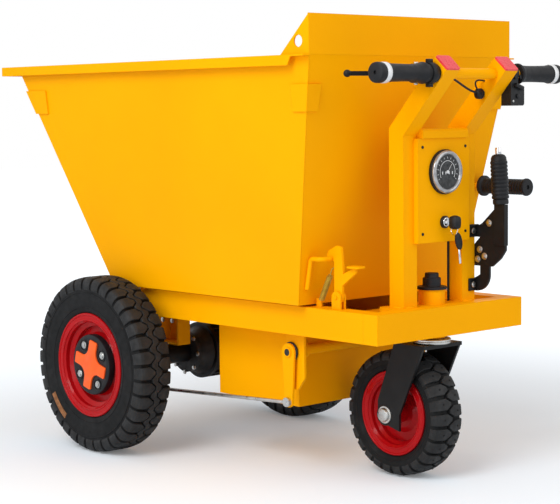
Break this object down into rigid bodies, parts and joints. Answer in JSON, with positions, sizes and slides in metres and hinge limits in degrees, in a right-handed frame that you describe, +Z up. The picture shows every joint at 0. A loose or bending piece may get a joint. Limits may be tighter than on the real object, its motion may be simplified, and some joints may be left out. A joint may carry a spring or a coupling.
{
  "type": "motorized wheelbarrow",
  "caption": "Electric hopper cart with driven front wheels, a swivelling rear wheel, a tipping open tub on a steel frame, and upright posts with handlebar controls.",
  "frame": {"origin": "on the ground under the middle of the machine's length and width", "axes": "+X towards the tub's nose, which is the driven wheels' end; +Y to the machine's left; +Z up"},
  "size_m": [1.2563, 0.7084, 0.973],
  "materials": {
    "yellow_paint": "gloss",
    "red_paint": "gloss",
    "black_paint": "satin",
    "dark_iron": "matte",
    "zinc": "satin",
    "chrome": "gloss",
    "tyre": "matte",
    "rubber": "matte",
    "black_plastic": "satin",
    "red_plastic": "gloss"
  },
  "bodies": {
    "chassis": {"axle_brackets": "yellow_paint", "axle_tubes": "black_paint", "battery_box": "yellow_paint", "battery_lid": "yellow_paint", "battery_pack": "black_plastic", "brake_lever": "black_paint", "brake_plates": "black_paint", "brake_rods": "zinc", "brake_shaft": "yellow_paint", "brake_shaft_hangers": "yellow_paint", "control_cable": "rubber", "control_panel": "yellow_paint", "drive_motor": "black_paint", "frame_front_beam": "yellow_paint", "frame_rail_left": "yellow_paint", "frame_rail_right": "yellow_paint", "frame_rear_bar": "yellow_paint", "gauge": "chrome", "gear_case": "dark_iron", "grip_left": "rubber", "grip_right": "rubber", "hand_brake_bracket": "black_paint", "hand_brake_grip": "rubber", "hand_brake_lever": "black_paint", "handlebar": "yellow_paint", "head_block": "yellow_paint", "key_switch": "chrome", "latch_hook": "yellow_paint", "latch_lugs": "yellow_paint", "latch_spring": "zinc", "post_caps": "red_plastic", "steering_posts": "yellow_paint", "switch_housing": "black_plastic", "swivel_head_cap": "rubber", "tub_hinge_ears": "yellow_paint", "tub_rest_pads": "rubber"},
    "front_left_wheel": {"front_left_brake_drum": "dark_iron", "front_left_hub_cover": "black_plastic", "front_left_rim": "red_paint", "front_left_tyre": "tyre"},
    "front_right_wheel": {"front_right_brake_drum": "dark_iron", "front_right_hub_cover": "black_plastic", "front_right_rim": "red_paint", "front_right_tyre": "tyre"},
    "caster": {"rear_fork": "black_paint", "rear_axle_bolt": "zinc"},
    "rear_wheel": {"rear_tyre": "tyre", "rear_rim": "red_paint"},
    "tub": {"tub_corner_plates": "yellow_paint", "tub_extension": "yellow_paint", "tub_floor": "yellow_paint", "tub_front_wall": "yellow_paint", "tub_handle_grip": "rubber", "tub_hinge_lugs": "yellow_paint", "tub_latch_rod": "yellow_paint", "tub_rear_wall": "yellow_paint", "tub_side_left": "yellow_paint", "tub_side_right": "yellow_paint"}
  },
  "joints": [
    {"name": "front_left_wheel_spin", "type": "hinge", "parent": "chassis", "child": "front_left_wheel", "pos_m": [0.258, 0.306, 0.203], "axis": [0, 1, 0], "continuous": true},
    {"name": "front_right_wheel_spin", "type": "hinge", "parent": "chassis", "child": "front_right_wheel", "pos_m": [0.258, -0.306, 0.203], "axis": [0, 1, 0], "continuous": true},
    {"name": "caster_swivel", "type": "hinge", "parent": "chassis", "child": "caster", "pos_m": [-0.487, 0, 0.3], "axis": [0, 0, 1], "continuous": true},
    {"name": "rear_wheel_spin", "type": "hinge", "parent": "caster", "child": "rear_wheel", "pos_m": [-0.407, 0, 0.136], "axis": [0, 1, 0], "continuous": true},
    {"name": "tub_tip", "type": "hinge", "parent": "chassis", "child": "tub", "pos_m": [0.313, 0, 0.368], "axis": [0, 1, 0], "range_deg": [0, 75]}
  ]
}
